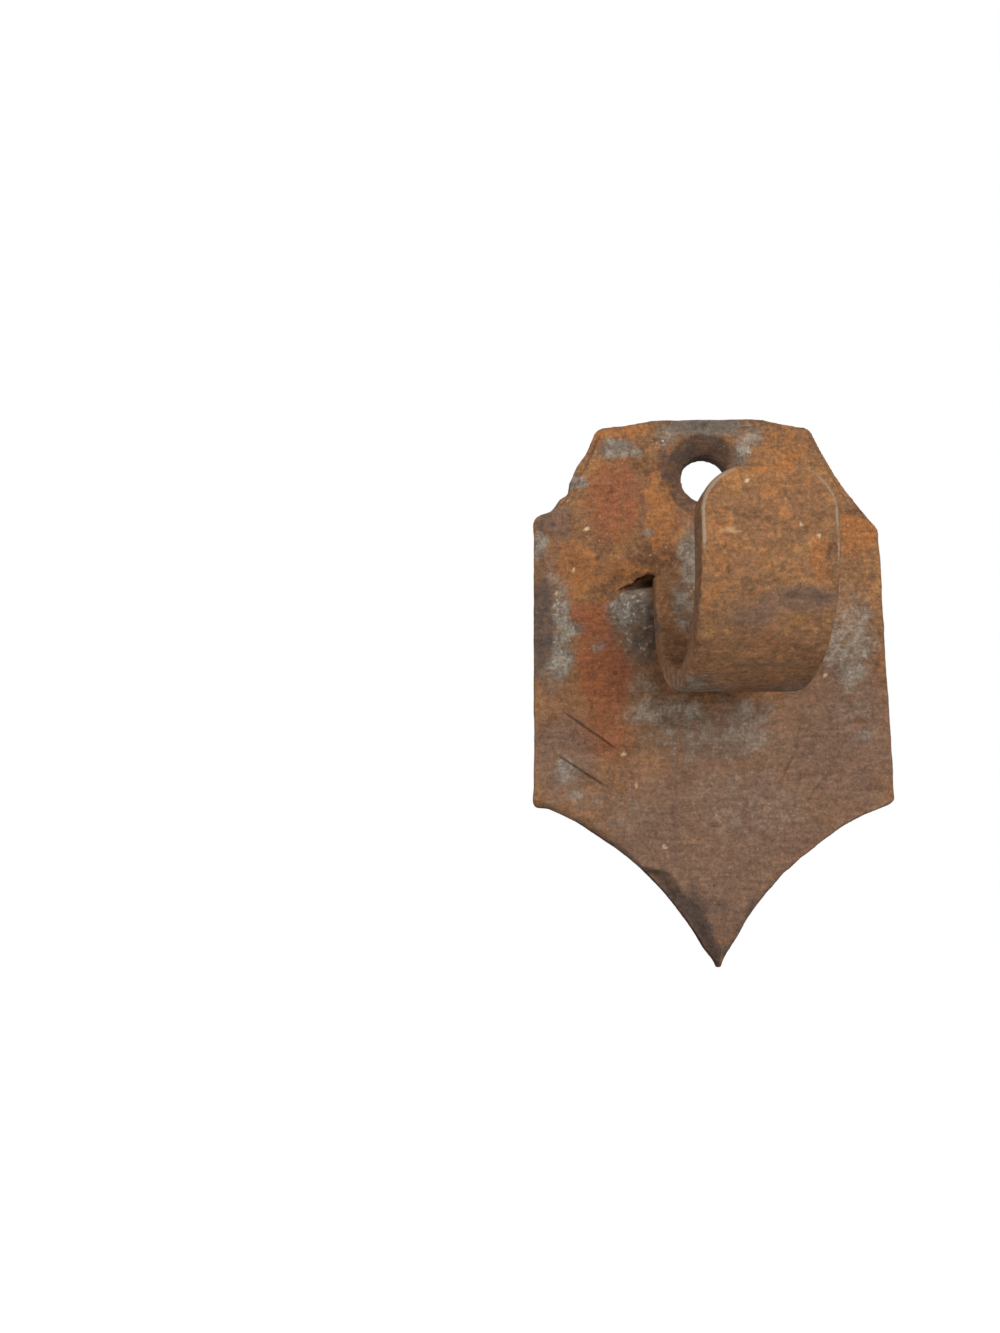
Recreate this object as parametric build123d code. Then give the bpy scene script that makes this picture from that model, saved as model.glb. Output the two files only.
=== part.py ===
from build123d import *
import os

# Hand-forged iron shutter holdback: a shield-shaped wall plate with an upturned flat-bar hook
# fire-welded over its head. One screw through the head hangs it on a wall.
# Millimetres. +Z is up, the wall plane is y = 0 and the front faces -Y. The origin is where the
# axis of the screw hole meets the wall.

# ---- screw hole -----------------------------------------------------------------------------
screw_shank_diameter = 9.5        # 3/8 inch lag screw or bolt
shank_clearance = 0.15            # radial, so that the holdback turns on the shank
hole_mouth_radius = 8.1           # where the punched taper opens at the front

# ---- shield plate ---------------------------------------------------------------------------
plate_thickness = 3.2
top_rise = 12.8                   # top edge above the hole axis
top_flat_half_width = 9.5         # level middle of the crowned top edge
crown_drop = 1.6                  # fall of the top edge from its middle to its corners
top_half_width = 22.4
top_corner_radius = 2.6
shoulder_drop = 10.6              # foot of the sloping shoulder, below the hole axis
shoulder_hollow = 1.3             # how far the shoulder line is let in
shoulder_half_width = 35.5
shoulder_corner_radius = 3.0
side_length = 56.0                # straight side, from the shoulder to the bottom corner
side_flare = 0.3                  # how much wider each side stands at the bottom corner
foot_corner_radius = 1.8
tip_drop = 98.5                   # point of the shield, below the hole axis
foot_hollow = 4.7                 # how far each arc that runs to the point is let in
tip_flat_half_width = 0.7         # the point is blunt
plate_edge_round = 0.5            # worn front edge, all round

# ---- palm: spread end of the hook bar, lapped over the plate's head ---------------------------
palm_thickness = 3.6
palm_full_half_width = 15.0       # full thickness out to here, scarfed thin beyond
palm_scarf_edge = 0.5             # thickness left where the scarf runs out
palm_edge_inset = 1.3             # palm's edge inside the plate's edge
wing_below_shoulder = 2.4         # palm's lower edge at the plate's side, below the shoulder's foot
palm_wing_bulge = 2.0             # how far the lower edge of each wing is rounded out
seam_drop = 21.0                  # lip of the palm beside the bar, below the hole axis
seam_length = 9.5                 # open stretch of the weld seam, from the bar outward
seam_fall = 2.8                   # the lip falls this much along the open stretch
seam_opening = 1.4                # how far the lip stands off the plate beside the bar
seam_reach = 3.2                  # how far up under the lip the seam is open

# ---- hook bar -------------------------------------------------------------------------------
bar_width = 22.0
back_leg_thickness = 4.6
bend_thickness = 4.2              # the bar draws thinner round the bottom of the bend
front_leg_thickness = 6.0
throat_gap = 34.2                 # clear gap between the legs
bend_drop = 46.5                  # lowest point of the bend, below the hole axis
front_leg_drop = 13.0             # top of the front leg, below the hole axis
tip_corner_radius = 7.6           # rounded corners of the front leg's end
bar_edge_round = 0.8
root_clearance = 2.2              # from the hole's mouth down to where the bar leaves the palm
root_ramp_length = 5.0            # slope from the palm's face up to the bar's face

# ---- places that follow from the sizes above --------------------------------------------------
hole_radius = screw_shank_diameter / 2 + shank_clearance
plate_front = -plate_thickness
palm_front = plate_front - palm_thickness
back_leg_face = plate_front - back_leg_thickness
front_leg_inner = back_leg_face - throat_gap
front_leg_outer = front_leg_inner - front_leg_thickness
bar_half_width = bar_width / 2
foot_half_width = shoulder_half_width + side_flare
foot_drop = shoulder_drop + side_length
seam_end = bar_half_width + seam_length
cut_margin = 1.0                  # how far cutting tools run past what they cut


def mirrored_outline(half_edges):
    """Closed face in the wall plane from the right half of a symmetrical outline."""
    edges = half_edges + [edge.mirror(Plane.YZ) for edge in half_edges]
    return make_face(edges)


def shield_outline():
    """Outline of the shield, with its crowned top, hollow shoulders and hollow feet."""
    crown_end = (top_half_width, top_rise - crown_drop)
    shoulder = (shoulder_half_width, -shoulder_drop)
    foot = (foot_half_width, -foot_drop)
    point = (tip_flat_half_width, -tip_drop)
    half = [
        Line((0, top_rise), (top_flat_half_width, top_rise)),
        Line((top_flat_half_width, top_rise), crown_end),
        SagittaArc(crown_end, shoulder, -shoulder_hollow),
        Line(shoulder, foot),
        SagittaArc(foot, point, -foot_hollow),
        Line(point, (0, -tip_drop)),
    ]
    face = mirrored_outline(half)
    for corner, radius in (
        (crown_end, top_corner_radius),
        (shoulder, shoulder_corner_radius),
        (foot, foot_corner_radius),
    ):
        for side in (-1, 1):
            place = Vector(side * corner[0], corner[1])
            vertex = face.vertices().sort_by_distance(place)[0]
            face = fillet(vertex, radius)
    return face


def from_wall(face, start, depth):
    """Solid of a wall-plane face, from the depth start forward by depth."""
    return extrude(Plane.XZ.offset(start) * face, amount=depth)


def screw_hole():
    """Straight bore through the plate and the taper that opens through the palm."""
    bore = Plane.XZ * Cylinder(hole_radius, 2 * plate_thickness)
    taper_middle = plate_thickness + palm_thickness / 2
    taper = Plane.XZ.offset(taper_middle) * Cone(hole_radius, hole_mouth_radius, palm_thickness)
    return bore + taper


def shield_plate():
    """Wall plate: the whole outline with a worn front edge, bored for the screw."""
    plate = from_wall(shield_outline(), 0, plate_thickness)
    rim = plate.edges().filter_by_position(Axis.Y, plate_front, plate_front)
    return fillet(rim, plate_edge_round) - screw_hole()


def palm_outline():
    """Plate's head outline, let in a little, down to the palm's lower lip and wings."""
    lip_start = (bar_half_width, -seam_drop)
    lip_end = (seam_end, -seam_drop - seam_fall)
    wing_end = (foot_half_width, -shoulder_drop - wing_below_shoulder)
    above = top_rise + cut_margin
    half = [
        Line((0, -seam_drop), lip_start),
        Line(lip_start, lip_end),
        SagittaArc(lip_end, wing_end, -palm_wing_bulge),
        Line(wing_end, (foot_half_width, above)),
        Line((foot_half_width, above), (0, above)),
    ]
    head = offset(shield_outline(), -palm_edge_inset)
    return head & mirrored_outline(half)


def palm_scarf():
    """Body that the palm is trimmed to: flat in the middle and scarfed thin at both sides."""
    scarf_face = plate_front - palm_scarf_edge
    section = make_face(Polyline(
        (-shoulder_half_width, plate_front),
        (-shoulder_half_width, scarf_face),
        (-palm_full_half_width, palm_front),
        (palm_full_half_width, palm_front),
        (shoulder_half_width, scarf_face),
        (shoulder_half_width, plate_front),
        close=True,
    ))
    return extrude(section, amount=tip_drop, both=True)


def seam_wedge(side):
    """Open weld seam under the lip, deepest beside the bar and closed at its outer end."""
    section = make_face(Polyline(
        (side * (bar_half_width - cut_margin), plate_front + cut_margin),
        (side * (bar_half_width - cut_margin), plate_front - seam_opening),
        (side * bar_half_width, plate_front - seam_opening),
        (side * seam_end, plate_front),
        (side * seam_end, plate_front + cut_margin),
        close=True,
    ))
    height = seam_reach + seam_fall + cut_margin
    return extrude(Plane.XY.offset(seam_reach - seam_drop - height) * section, amount=height)


def palm():
    """Spread end of the bar, without the bar's own root."""
    body = from_wall(palm_outline(), plate_thickness, palm_thickness) & palm_scarf()
    for side in (-1, 1):
        body -= seam_wedge(side)
    return body


def bar_profile():
    """Side view of the bar: root ramp, back leg, U bend and front leg, in depth and height."""
    outer_radius = (plate_front - front_leg_outer) / 2
    inner_radius = throat_gap / 2
    outer_height = outer_radius - bend_drop
    inner_height = inner_radius + bend_thickness - bend_drop
    root_top = -hole_mouth_radius - root_clearance
    root_foot = root_top - root_ramp_length
    outer_bottom = (plate_front - outer_radius, -bend_drop)
    inner_bottom = (back_leg_face - inner_radius, bend_thickness - bend_drop)
    return make_face([
        Polyline((plate_front, outer_height), (plate_front, root_top), (palm_front, root_top),
                 (back_leg_face, root_foot), (back_leg_face, inner_height)),
        ThreePointArc((back_leg_face, inner_height), inner_bottom, (front_leg_inner, inner_height)),
        Polyline((front_leg_inner, inner_height), (front_leg_inner, -front_leg_drop),
                 (front_leg_outer, -front_leg_drop), (front_leg_outer, outer_height)),
        ThreePointArc((front_leg_outer, outer_height), outer_bottom, (plate_front, outer_height)),
    ])


def bar():
    """Flat bar on its own, with rounded tip corners and softened long edges."""
    body = extrude(Plane.YZ * bar_profile(), amount=bar_half_width, both=True)
    tip_corners = body.edges().filter_by(Axis.Y).filter_by_position(
        Axis.Y, front_leg_outer, front_leg_inner)
    body = fillet(tip_corners, tip_corner_radius)
    sides = body.faces().filter_by(Axis.X).edges()
    tip_end = body.edges().filter_by_position(Axis.Z, -front_leg_drop, -front_leg_drop)
    return fillet(sides + tip_end, bar_edge_round)


def hook_bar():
    """Bar and palm forged in one, bored through the palm."""
    return bar() + palm() - screw_hole()


def write_parts(parts):
    """Write one STEP file per sub-part into parts/."""
    os.makedirs("parts", exist_ok=True)
    for name, shape in parts.items():
        export_step(shape, f"parts/{name}.step")


write_parts({
    "shield_plate": shield_plate(),
    "hook_bar": hook_bar(),
})
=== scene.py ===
"""Looks for a hand-forged iron shutter holdback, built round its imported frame.

Two forgings show: the shield plate, and the hook bar whose spread palm is fire-welded over the plate's head.
Each one starts as a fine skin over the frame's own solid. The skin is then worked as the smith and the
weather worked the iron: hammered, bevelled, nicked, scaled and rusted. Lengths are in millimetres in the
row's frame (+Z up, wall at y = 0, front towards -Y) until a mesh is written, which is in metres.
"""

import logging
import math
from dataclasses import dataclass, field
from enum import Enum
from functools import partial

import bpy
import numpy as np
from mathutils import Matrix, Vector


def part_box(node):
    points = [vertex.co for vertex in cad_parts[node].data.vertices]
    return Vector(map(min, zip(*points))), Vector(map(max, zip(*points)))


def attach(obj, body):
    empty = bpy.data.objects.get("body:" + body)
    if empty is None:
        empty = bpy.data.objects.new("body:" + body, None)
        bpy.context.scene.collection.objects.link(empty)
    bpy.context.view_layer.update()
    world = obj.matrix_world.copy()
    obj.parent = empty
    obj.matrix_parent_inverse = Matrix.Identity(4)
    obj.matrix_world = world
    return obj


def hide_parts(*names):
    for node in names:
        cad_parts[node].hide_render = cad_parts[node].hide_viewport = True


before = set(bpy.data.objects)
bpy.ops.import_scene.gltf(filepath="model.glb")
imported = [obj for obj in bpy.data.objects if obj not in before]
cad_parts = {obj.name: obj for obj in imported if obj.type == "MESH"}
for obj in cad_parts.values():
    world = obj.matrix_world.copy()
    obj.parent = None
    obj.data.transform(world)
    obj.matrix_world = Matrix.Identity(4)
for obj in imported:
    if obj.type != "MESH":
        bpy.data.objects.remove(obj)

MM = 0.001
ROOT_BODY = "root"
IN_WALL = (1, 0, 1)                   # keeps a pattern the same through the iron's thickness
LOG = logging.getLogger("holdback")


# ---------------------------------------------------------------------------------------------
# Numbers and fields
# ---------------------------------------------------------------------------------------------


def node_box_mm(node: str) -> tuple[np.ndarray, np.ndarray]:
    """Lowest and highest corner of a frame node, in millimetres."""
    low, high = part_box(node)
    return np.array(low) / MM, np.array(high) / MM


def smooth_step(values: np.ndarray, start: float, end: float) -> np.ndarray:
    """Eased 0 to 1 ramp as values go from start to end, which may run downwards."""
    share = np.clip((values - start) / (end - start), 0.0, 1.0)
    return share * share * (3.0 - 2.0 * share)


def wall_distance(points: np.ndarray, x: float = 0.0, z: float = 0.0) -> np.ndarray:
    """How far each point lies from the line through x and z that is square to the wall."""
    return np.hypot(points[:, 0] - x, points[:, 2] - z)


def lattice_value(cells: np.ndarray, seed: int) -> np.ndarray:
    """Mix each lattice cell's whole numbers into a repeatable value.

    Args:
        cells: whole-numbered cells, one row each.
        seed: picks one repeatable pattern.

    Returns:
        One value a cell, from -1 to 1.
    """
    primes = np.array([374761393, 668265263, 1442695041], dtype=np.int64)
    mixed = (cells.astype(np.int64) * primes).sum(axis=-1) + seed * 1274126177
    mixed = (mixed ^ (mixed >> 13)) * 1103515245 & 0x7FFFFFFF
    mixed = (mixed ^ (mixed >> 15)) * 69069 & 0x7FFFFFFF
    return mixed / 0x3FFFFFFF - 1.0


def noise(points: np.ndarray, size: float, seed: int, octaves: int = 2) -> np.ndarray:
    """Smooth noise over space.

    Args:
        points: positions in millimetres, one row each.
        size: width of the largest lumps, in millimetres.
        seed: picks one repeatable pattern.
        octaves: how many finer layers are added, each half as wide and half as strong.

    Returns:
        One value a point, about -1 to 1.
    """
    total = np.zeros(len(points))
    weight = 0.0
    for octave in range(octaves):
        scaled = points * (2 ** octave / size) + 17.3 * octave
        cell = np.floor(scaled)
        ease = scaled - cell
        ease = ease * ease * (3.0 - 2.0 * ease)
        value = np.zeros(len(points))
        for corner in np.ndindex(2, 2, 2):
            share = np.prod(np.where(corner, ease, 1.0 - ease), axis=1)
            value += share * lattice_value(cell + corner, seed + 101 * octave)
        total += value / 2 ** octave
        weight += 1 / 2 ** octave
    return total / weight


@dataclass(frozen=True)
class Relief:
    """Soft lumps over the iron."""

    size: float                       # width of the largest lumps
    height: float                     # how far they stand out, or a share
    seed: int
    octaves: int = 2                  # how many finer layers there are

    def over(self, points: np.ndarray) -> np.ndarray:
        """Height of the lumps at each point."""
        return self.height * noise(points, self.size, self.seed, self.octaves)

    def drag(self, points: np.ndarray) -> np.ndarray:
        """Move the points about, along each axis by lumps with a seed of their own."""
        lumps = [noise(points, self.size, self.seed + axis, self.octaves) for axis in range(3)]
        return points + self.height * np.stack(lumps, axis=1)


@dataclass(frozen=True)
class Circle:
    """Circle in the wall plane, in millimetres."""

    x: float
    z: float
    radius: float

    @classmethod
    def through_chord(cls, start: tuple[float, float], end: tuple[float, float], sagitta: float) -> "Circle":
        """Circle of the arc from start to end that is let in by sagitta.

        Args:
            start: first end of the arc, as x and z.
            end: last end of the arc.
            sagitta: how far the arc leaves its chord, to the left of travel.

        Returns:
            The circle, whose centre lies to the right of travel.
        """
        a, b = np.array(start), np.array(end)
        chord = b - a
        length = float(np.hypot(*chord))
        radius = (length * length / 4 + sagitta * sagitta) / (2 * sagitta)
        right = np.array([chord[1], -chord[0]]) / length
        centre = (a + b) / 2 + right * (radius - sagitta)
        return cls(float(centre[0]), float(centre[1]), radius)

    def outside(self, points: np.ndarray) -> np.ndarray:
        """How far each point lies outside the circle, in the wall plane."""
        return wall_distance(points, self.x, self.z) - self.radius


# ---------------------------------------------------------------------------------------------
# Stains: where the rust is bright, burnt or worn through to grey scale, and painted shade and glints
# ---------------------------------------------------------------------------------------------

class StainKind(Enum):
    """What a stain shows. Its value is the mesh attribute that carries it."""

    SCALE = "scale"       # grey fire scale where the rust has gone
    ORANGE = "orange"     # ochre bloom of young rust
    RED = "red"           # dull red-brown rust
    PLUM = "plum"         # old purple-brown rust
    CHAR_AND_SHADE = "char"         # dark brown forge scale in bevels and bores, darker sides on the bar, and painted shadow beside the bar with painted shade at the bend's bottom and the hole's top
    GLINT = "glint"       # painted highlight: pale glinting points on a broken surface
    SPECK = "speck"       # single pale gold crystals
    PAINTED_SHADE = "soot"         # painted shade: near-black in hollows, corners and under the lip


# kinds that the back and sides have too, strewn over them
ALL_ROUND = (StainKind.SCALE, StainKind.ORANGE, StainKind.RED, StainKind.PLUM, StainKind.CHAR_AND_SHADE)


class Layer(Enum):
    """Which of the surfaces that face forward a stain lies on."""

    FACE = "face"         # plate, palm and the bar's back leg
    LEG = "leg"           # the bar's front leg


@dataclass(frozen=True)
class Stain:
    """One soft-edged stain, placed in the wall plane."""

    kind: StainKind
    layer: Layer
    x: float
    z: float
    half_width: float
    half_height: float
    strength: float = 1.0

    def cover(self, points: np.ndarray) -> np.ndarray:
        """Share from 0 to 1 of the stain at each point, which is half the strength at its half width."""
        away = np.hypot((points[:, 0] - self.x) / self.half_width, (points[:, 2] - self.z) / self.half_height)
        return self.strength * smooth_step(away, 1.5, 0.5)


# ---------------------------------------------------------------------------------------------
# Worked skin
# ---------------------------------------------------------------------------------------------

@dataclass(frozen=True)
class Blows:
    """Hammer blows that have left shallow round marks all over a piece."""

    count: int
    radius: float                     # of the largest mark
    depth: float                      # of the deepest mark
    seed: int                         # picks where they fall


class Skin:
    """Fine closed mesh over a frame node, held as arrays in millimetres while it is worked."""

    def __init__(self, node: str, name: str, voxel: float) -> None:
        """Cover a frame node with a fine skin.

        Args:
            node: the frame's node.
            name: name of the new piece.
            voxel: width of the skin's faces, in millimetres.
        """
        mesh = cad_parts[node].data.copy()
        mesh.materials.clear()
        self.piece = bpy.data.objects.new(name, mesh)
        bpy.context.scene.collection.objects.link(self.piece)
        remesh = self.piece.modifiers.new("skin", "REMESH")
        remesh.mode = "VOXEL"
        remesh.voxel_size = voxel * MM
        graph = bpy.context.evaluated_depsgraph_get()
        fine = bpy.data.meshes.new_from_object(self.piece.evaluated_get(graph))
        self.piece.modifiers.clear()
        self.piece.data = fine
        fine.name = name
        count = len(fine.vertices)
        flat = np.zeros(count * 3, np.float32)
        fine.vertices.foreach_get("co", flat)
        self.points = flat.reshape(-1, 3).astype(float) / MM
        ends = np.zeros(len(fine.edges) * 2, np.int32)
        fine.edges.foreach_get("vertices", ends)
        self.ends = ends.reshape(-1, 2)
        self.valence = np.bincount(self.ends.ravel(), minlength=count).astype(float)

    def neighbour_mean(self, values: np.ndarray) -> np.ndarray:
        """Average what each vertex's neighbours hold.

        Args:
            values: one value or one row a vertex.

        Returns:
            The averages, in the same shape.
        """
        columns = values.reshape(len(values), -1)
        first, second = self.ends[:, 0], self.ends[:, 1]
        means = np.empty_like(columns, dtype=float)
        for index in range(columns.shape[1]):
            column = columns[:, index]
            total = np.bincount(first, column[second], len(column))
            total += np.bincount(second, column[first], len(column))
            means[:, index] = total / self.valence
        return means.reshape(values.shape)

    def smooth(self, rounds: int, share: float | np.ndarray = 0.5) -> None:
        """Ease the skin, which rounds its edges as wear does, by one share or one a vertex."""
        for _ in range(rounds):
            self.points += share * (self.neighbour_mean(self.points) - self.points)

    def iron_out(self, rounds: int) -> None:
        """Take the remesh's small steps out without drawing the edges in.

        Args:
            rounds: how often the skin is eased and pushed back.
        """
        for _ in range(rounds):
            self.smooth(1, 0.5)
            self.smooth(1, -0.52)

    def spread(self, values: np.ndarray, rounds: int) -> np.ndarray:
        """Spread each vertex's values to its neighbours.

        Args:
            values: one value or one row a vertex.
            rounds: how many voxels they spread.

        Returns:
            The values once spread.
        """
        for _ in range(rounds):
            values = self.neighbour_mean(values)
        return values

    def write(self) -> None:
        """Put the worked points into the mesh."""
        self.piece.data.vertices.foreach_set("co", (self.points * MM).astype(np.float32).ravel())
        self.piece.data.update()

    def normals(self) -> np.ndarray:
        """Write the points and read how the skin then faces.

        Returns:
            A unit normal for each vertex.
        """
        self.write()
        flat = np.zeros(len(self.points) * 3, np.float32)
        self.piece.data.vertex_normals.foreach_get("vector", flat)
        return flat.reshape(-1, 3).astype(float)

    def edge_bend(self, rounds: int) -> np.ndarray:
        """How sharply the skin turns, over about one voxel a round: above 0 on edges, below in hollows."""
        wide = self.spread(self.points, rounds)
        return -((wide - self.points) * self.normals()).sum(axis=1)

    def push(self, depth: np.ndarray) -> None:
        """Move the skin out along its normals by depth."""
        self.points += self.normals() * depth[:, None]

    def strike(self, blows: Blows) -> None:
        """Leave hammer marks all over.

        Args:
            blows: how many, how large and where.
        """
        rng = np.random.default_rng(blows.seed)
        places = self.points[rng.integers(0, len(self.points), blows.count)]
        sizes = rng.uniform(0.5, 1.0, blows.count)
        forces = rng.uniform(0.3, 1.0, blows.count)
        sunk = np.zeros(len(self.points))
        for place, size, force in zip(places, sizes, forces):
            away = np.linalg.norm(self.points - place, axis=1) / (blows.radius * size)
            sunk = np.maximum(sunk, blows.depth * force * np.clip(1.0 - away * away, 0.0, None))
        self.push(-sunk)

    def carry(self, name: str, values: np.ndarray) -> None:
        """Store one value a vertex as a mesh attribute that the iron's finish reads."""
        attribute = self.piece.data.attributes.new(name, "FLOAT", "POINT")
        attribute.data.foreach_set("value", np.clip(values, 0.0, 1.0).astype(np.float32))


# ---------------------------------------------------------------------------------------------
# Material
# ---------------------------------------------------------------------------------------------

Socket = bpy.types.NodeSocket
EASED = {"interpolation_type": "SMOOTHSTEP"}


def linear(hex_colour: str) -> tuple[float, float, float, float]:
    """Turn an sRGB colour into linear values.

    Args:
        hex_colour: such as #876143.

    Returns:
        Red, green, blue and full alpha.
    """
    channels = [int(hex_colour[i:i + 2], 16) / 255 for i in (1, 3, 5)]
    turned = [c / 12.92 if c <= 0.04045 else ((c + 0.055) / 1.055) ** 2.4 for c in channels]
    return (turned[0], turned[1], turned[2], 1.0)


def add_node(tree: bpy.types.NodeTree, kind: str, inputs: dict | tuple = (),
             output: int | str | None = 0, **settings: str) -> Socket | None:
    """Add one shader node.

    Args:
        tree: the material's node tree.
        kind: the node's type name, without ShaderNode in front.
        inputs: a plain value or the output that feeds it, for each input in turn or by name or number.
        output: the output that is wanted, or None.
        **settings: properties of the node itself.

    Returns:
        The wanted output.
    """
    node = tree.nodes.new(f"ShaderNode{kind}")
    for key, value in settings.items():
        setattr(node, key, value)
    given = inputs if isinstance(inputs, dict) else dict(enumerate(inputs))
    for key, value in given.items():
        if isinstance(value, Socket):
            tree.links.new(value, node.inputs[key])
        else:
            node.inputs[key].default_value = value
    return None if output is None else node.outputs[output]


@dataclass(frozen=True)
class Pattern:
    """A cloudy pattern in the iron."""

    size_mm: float                    # width of its lumps
    detail: float                     # how many finer layers there are
    rough: float                      # how strong the finer layers are
    warp: float = 0.0                 # how far the pattern is dragged about by itself
    squeeze: float = 1.0              # below 1 it is drawn out along x into streaks


@dataclass(frozen=True)
class Scratch:
    """One straight scratch on the front, from start to end as x and z."""

    start: tuple[float, float]
    end: tuple[float, float]
    width: float = 0.35
    strength: float = 1.0


@dataclass(frozen=True)
class Laying:
    """How a kind of stain lies on the rust: its outline breaks up with the rust's own patterns."""

    kind: StainKind
    most: float                       # share of its colour where it is full
    outline: tuple[float, float]      # further apart is softer
    solid: float = 0.25               # strength from which the stain isn't thinned


@dataclass(frozen=True)
class RustedIron:
    """Wrought iron, hand-forged and left to rust: matt oxide with burnt grey scale and worn edges.

    The oxide is a dull dielectric crust, mottled orange to dark brown and grainy to the eye. Where it has
    flaked, smooth grey fire scale shows with a soft metal sheen, and handled edges are rubbed paler.
    """

    name: str
    rust_deep: str = "#6a4730"        # old dark rust in the mottling
    rust_mid: str = "#876143"         # the usual brown
    rust_light: str = "#a17347"       # ochre high spots
    orange: str = "#a56a3a"           # young rust
    red: str = "#8e5438"              # dull red rust
    plum: str = "#725b4e"             # purple-brown old crust
    scale: str = "#736a5f"            # grey fire scale
    scale_light: str = "#988e80"      # the same where it is rubbed
    olive: str = "#7a6d4f"            # yellow-grey spots in the rust
    char: str = "#50413a"             # dark forge scale, and painted shade beside and under the bar
    glint: str = "#d3cabb"            # painted highlight of the glints
    soot: str = "#211812"             # near-black of the pits and scratches, and of the painted shade in hollows and under the lip
    fleck: str = "#dcbd96"            # golden flecks
    worn: str = "#a8937c"             # rubbed edges
    mottle: Pattern = Pattern(9.0, 7.0, 0.66, 0.5)             # large clouds in the rust
    hue: Pattern = Pattern(6.5, 5.0, 0.7, 0.8)                 # redder and yellower areas
    cloud: Pattern = Pattern(2.6, 5.0, 0.68, 0.3)              # smaller clouds
    pits: Pattern = Pattern(2.0, 3.0, 0.6)                     # spacing of the dark pits
    spots: Pattern = Pattern(1.1, 3.0, 0.7, 0.2)               # spots in the clouds
    crystals: Pattern = Pattern(0.8, 2.0, 0.5)                 # spacing of pale crystals and golden flecks
    streaks: Pattern = Pattern(0.7, 3.0, 0.6, squeeze=0.22)    # faint level streaks, each about 3 mm long
    grain: Pattern = Pattern(0.6, 3.0, 0.65)                   # rust grains, coarser than real so they show
    fine: Pattern = Pattern(0.24, 2.0, 0.6)                    # their broken surface
    grain_depth_mm: float = 0.07
    pit_depth_mm: float = 0.12
    scratch_depth_mm: float = 0.15
    crust_roughness: float = 0.92     # rust is nearly matt
    bare_roughness: float = 0.55      # rubbed iron and smooth scale have a soft sheen
    bare_metal: float = 0.4           # and are part metal, part oxide film
    dull: float = 0.25                # specular level of the porous crust
    raggedness: float = 1.35          # usual sum of the patterns that break a stain's outline up
    faintest: float = 0.02            # no stain shows where its strength is less
    scratches: tuple[Scratch, ...] = ()

    def build(self) -> bpy.types.Material:
        """Make the material.

        Returns:
            The new material.
        """
        material = bpy.data.materials.new(self.name)
        material.use_nodes = True
        material.node_tree.nodes.clear()
        RustCoats(material.node_tree, self).build()
        return material


@dataclass(frozen=True)
class Coat:
    """One coat of colour over those below it."""

    over: Socket | tuple[float, float, float, float]
    cover: Socket | float
    blend: str = "MIX"


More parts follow.
